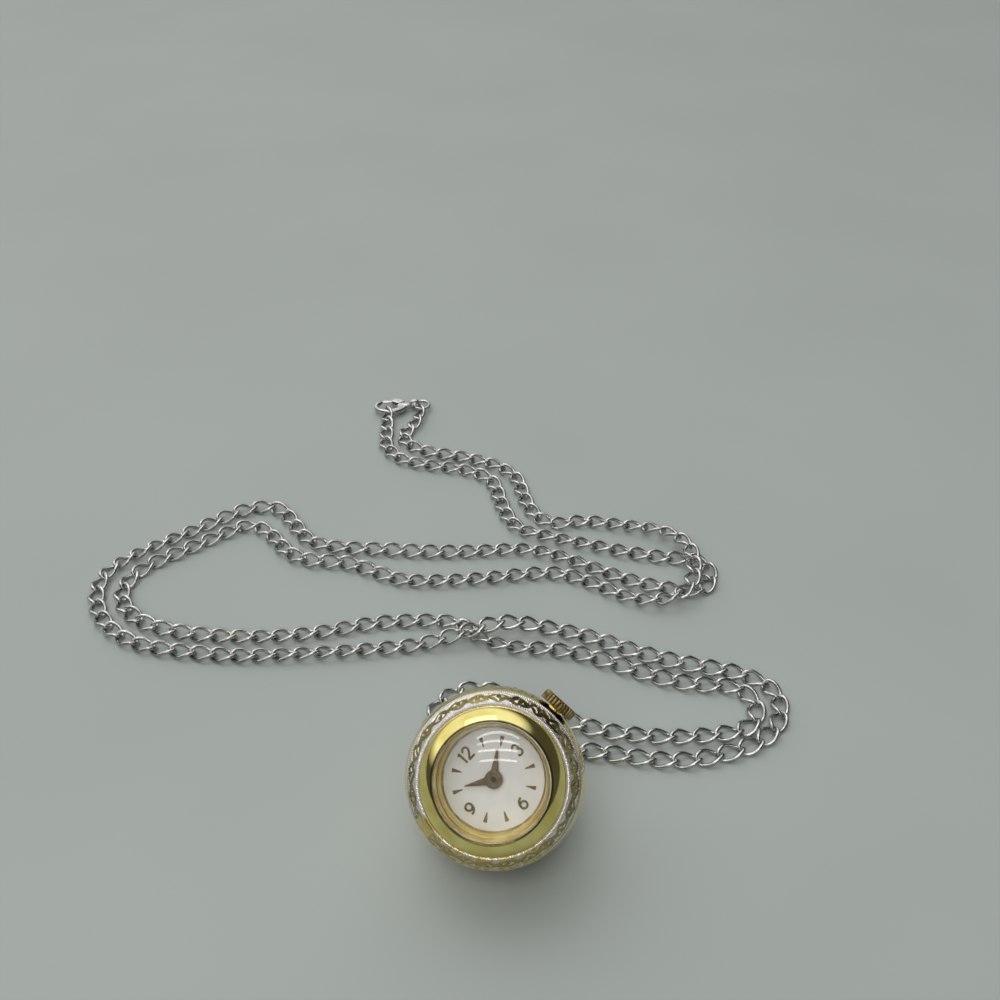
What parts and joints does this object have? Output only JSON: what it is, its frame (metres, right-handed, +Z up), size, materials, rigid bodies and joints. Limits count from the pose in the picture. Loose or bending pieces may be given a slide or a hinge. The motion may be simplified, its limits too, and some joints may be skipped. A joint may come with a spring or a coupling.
{
  "type": "pendant ball watch",
  "caption": "Ball-shaped pendant watch on a curb-link neck chain with a lobster clasp, wound and set by a knurled crown, lying on a table.",
  "frame": {"origin": "point where the ball touches the table, below the middle of the ball", "axes": "+Z up from the table; the dial looks up and towards -Y; the chain lies towards +Y"},
  "size_m": [0.1061, 0.1115, 0.022],
  "materials": {
    "gold_plate": "polished gold plate on brass",
    "bronze_gold": "darker bronze-gold plate",
    "silver_overlay": "silvery pierced overlay",
    "dial_silver": "satin silver dial",
    "dial_gold": "raised gold markers",
    "hand_bronze": "matt bronze hands",
    "crystal": "clear domed glass",
    "chain_steel": "bright polished steel",
    "nickel_plate": "nickel-plated movement brass",
    "wheel_brass": "gilt wheel brass",
    "hard_steel": "hardened and polished steel",
    "spring_steel": "blued spring steel",
    "ruby": "red synthetic ruby"
  },
  "bodies": {
    "root": {"case_front": "gold_plate", "case_back": "gold_plate", "filigree_band": "silver_overlay", "bezel": "gold_plate", "crystal": "crystal", "reflector_ring": "bronze_gold", "casing_ring": "nickel_plate", "casing_clamps": "hard_steel", "clamp_screws": "hard_steel", "bail_eye": "chain_steel", "bail_ring": "chain_steel", "case_tube": "gold_plate", "dial": "dial_silver", "hour_markers": "dial_gold", "main_plate": "nickel_plate", "barrel_bridge": "nickel_plate", "train_bridge": "nickel_plate", "balance_cock": "nickel_plate", "pallet_cock": "nickel_plate", "bridge_screws": "hard_steel", "plate_jewels": "ruby", "bridge_jewels": "ruby", "hairspring": "spring_steel", "click_spring": "spring_steel", "crown_wheel_screw": "hard_steel", "clasp_body": "chain_steel", "clasp_pin": "chain_steel", "clasp_spring": "spring_steel", "tail_ring": "chain_steel", "chain_outer_strand": "chain_steel", "chain_inner_strand": "chain_steel"},
    "winding_pinion": {"winding_pinion": "hard_steel"},
    "clutch": {"clutch": "hard_steel"},
    "crown": {"crown": "bronze_gold", "stem": "hard_steel"},
    "crown_wheel": {"crown_wheel": "hard_steel"},
    "ratchet": {"ratchet_wheel": "hard_steel", "ratchet_screw": "hard_steel", "barrel_arbor": "hard_steel"},
    "click": {"click": "hard_steel"},
    "barrel": {"barrel_drum": "wheel_brass", "barrel_cover": "wheel_brass", "mainspring": "spring_steel"},
    "centre_wheel": {"centre_wheel": "wheel_brass"},
    "third_wheel": {"third_wheel": "wheel_brass"},
    "fourth_wheel": {"fourth_wheel": "wheel_brass"},
    "escape_wheel": {"escape_wheel": "wheel_brass"},
    "pallet_fork": {"pallet_fork": "hard_steel"},
    "balance": {"balance_wheel": "wheel_brass", "balance_staff": "hard_steel"},
    "regulator": {"regulator": "hard_steel"},
    "minute_hand": {"minute_hand": "hand_bronze", "cannon_pinion": "wheel_brass"},
    "hour_hand": {"hour_hand": "hand_bronze", "hour_wheel": "wheel_brass"},
    "minute_wheel": {"minute_wheel": "wheel_brass"},
    "setting_wheel": {"setting_wheel": "wheel_brass"},
    "setting_lever": {"setting_lever": "hard_steel"},
    "yoke": {"yoke": "hard_steel"},
    "clasp_trigger": {"clasp_trigger": "chain_steel"}
  },
  "joints": [
    {"name": "crown_turn", "type": "hinge", "parent": "root", "child": "winding_pinion", "pos_m": [0.00319, 0.00173, 0.01448], "axis": [0.6649, 0.5223, 0.534], "continuous": true},
    {"name": "crown_pull", "type": "slide", "parent": "winding_pinion", "child": "crown", "axis": [0.6649, 0.5223, 0.534], "range_m": [0, 0.0006]},
    {"name": "clutch_shift", "type": "slide", "parent": "winding_pinion", "child": "clutch", "axis": [-0.6649, -0.5223, -0.534], "range_m": [0, 0.0003]},
    {"name": "setting_lever_turn", "type": "hinge", "parent": "root", "child": "setting_lever", "pos_m": [0.00496, 0.00083, 0.01488], "axis": [0.0449, 0.6856, -0.7266], "range_deg": [0, 30]},
    {"name": "yoke_turn", "type": "hinge", "parent": "root", "child": "yoke", "pos_m": [0.00148, 0.00236, 0.01611], "axis": [0.0449, 0.6856, -0.7266], "range_deg": [0, 9]},
    {"name": "crown_wheel_turn", "type": "hinge", "parent": "root", "child": "crown_wheel", "pos_m": [0.00228, 0.00204, 0.01253], "axis": [0.0449, 0.6856, -0.7266], "continuous": true},
    {"name": "ratchet_turn", "type": "hinge", "parent": "root", "child": "ratchet", "pos_m": [-0.00159, 0.00211, 0.01235], "axis": [0.0449, 0.6856, -0.7266], "continuous": true},
    {"name": "click_turn", "type": "hinge", "parent": "root", "child": "click", "pos_m": [-0.0041, 0.00098, 0.01114], "axis": [0.0449, 0.6856, -0.7266], "range_deg": [0, 12], "stiffness_Nm_per_rad": 0.000001},
    {"name": "fourth_wheel_turn", "type": "hinge", "parent": "root", "child": "fourth_wheel", "pos_m": [0.00058, -0.00238, 0.00886], "axis": [0.0449, 0.6856, -0.7266], "continuous": true},
    {"name": "third_wheel_turn", "type": "hinge", "parent": "root", "child": "third_wheel", "pos_m": [-0.00085, -0.00156, 0.00954], "axis": [0.0449, 0.6856, -0.7266], "continuous": true},
    {"name": "centre_wheel_turn", "type": "hinge", "parent": "root", "child": "centre_wheel", "pos_m": [0, -0.00003, 0.01104], "axis": [0.0449, 0.6856, -0.7266], "continuous": true},
    {"name": "barrel_turn", "type": "hinge", "parent": "root", "child": "barrel", "pos_m": [-0.00161, 0.0018, 0.01267], "axis": [0.0449, 0.6856, -0.7266], "continuous": true},
    {"name": "escape_wheel_turn", "type": "hinge", "parent": "root", "child": "escape_wheel", "pos_m": [0.00196, -0.00176, 0.00953], "axis": [0.0449, 0.6856, -0.7266], "continuous": true},
    {"name": "pallet_fork_turn", "type": "hinge", "parent": "root", "child": "pallet_fork", "pos_m": [0.0028, -0.00107, 0.01023], "axis": [0.0449, 0.6856, -0.7266], "range_deg": [-8, 8]},
    {"name": "balance_turn", "type": "hinge", "parent": "root", "child": "balance", "pos_m": [0.00406, 0.00001, 0.01133], "axis": [0.0449, 0.6856, -0.7266], "range_deg": [-150, 150], "stiffness_Nm_per_rad": 0.000000008},
    {"name": "regulator_turn", "type": "hinge", "parent": "root", "child": "regulator", "pos_m": [0.00409, 0.00042, 0.0109], "axis": [0.0449, 0.6856, -0.7266], "range_deg": [-15, 15]},
    {"name": "minute_hand_turn", "type": "hinge", "parent": "root", "child": "minute_hand", "pos_m": [-0.00014, -0.00206, 0.01318], "axis": [0.0449, 0.6856, -0.7266], "continuous": true},
    {"name": "hour_hand_turn", "type": "hinge", "parent": "root", "child": "hour_hand", "pos_m": [-0.00014, -0.00206, 0.01318], "axis": [0.0449, 0.6856, -0.7266], "continuous": true},
    {"name": "minute_wheel_turn", "type": "hinge", "parent": "root", "child": "minute_wheel", "pos_m": [0.00157, -0.00167, 0.01227], "axis": [0.0449, 0.6856, -0.7266], "continuous": true},
    {"name": "setting_wheel_turn", "type": "hinge", "parent": "root", "child": "setting_wheel", "pos_m": [0.0018, -0.00027, 0.01361], "axis": [0.0449, 0.6856, -0.7266], "continuous": true},
    {"name": "clasp_trigger_turn", "type": "hinge", "parent": "root", "child": "clasp_trigger", "pos_m": [-0.01865, 0.0993, 0.00108], "axis": [0, 0, 1], "range_deg": [0, 18], "stiffness_Nm_per_rad": 0.001}
  ],
  "couplings": [
    {"joint": "clutch_shift", "follows": "crown_pull", "ratio": 0.5},
    {"joint": "setting_lever_turn", "follows": "crown_pull", "rad_per_m": 808.67},
    {"joint": "yoke_turn", "follows": "crown_pull", "rad_per_m": 226.67},
    {"joint": "crown_wheel_turn", "follows": "crown_turn", "ratio": -0.82143},
    {"joint": "ratchet_turn", "follows": "crown_turn", "ratio": 0.63889},
    {"joint": "third_wheel_turn", "follows": "fourth_wheel_turn", "ratio": -0.13333},
    {"joint": "centre_wheel_turn", "follows": "fourth_wheel_turn", "ratio": 0.016667},
    {"joint": "barrel_turn", "follows": "fourth_wheel_turn", "ratio": -0.0027778},
    {"joint": "escape_wheel_turn", "follows": "fourth_wheel_turn", "ratio": -10},
    {"joint": "minute_wheel_turn", "follows": "minute_hand_turn", "ratio": -0.33333},
    {"joint": "hour_hand_turn", "follows": "minute_hand_turn", "ratio": 0.083333},
    {"joint": "setting_wheel_turn", "follows": "minute_hand_turn", "ratio": 0.625}
  ]
}
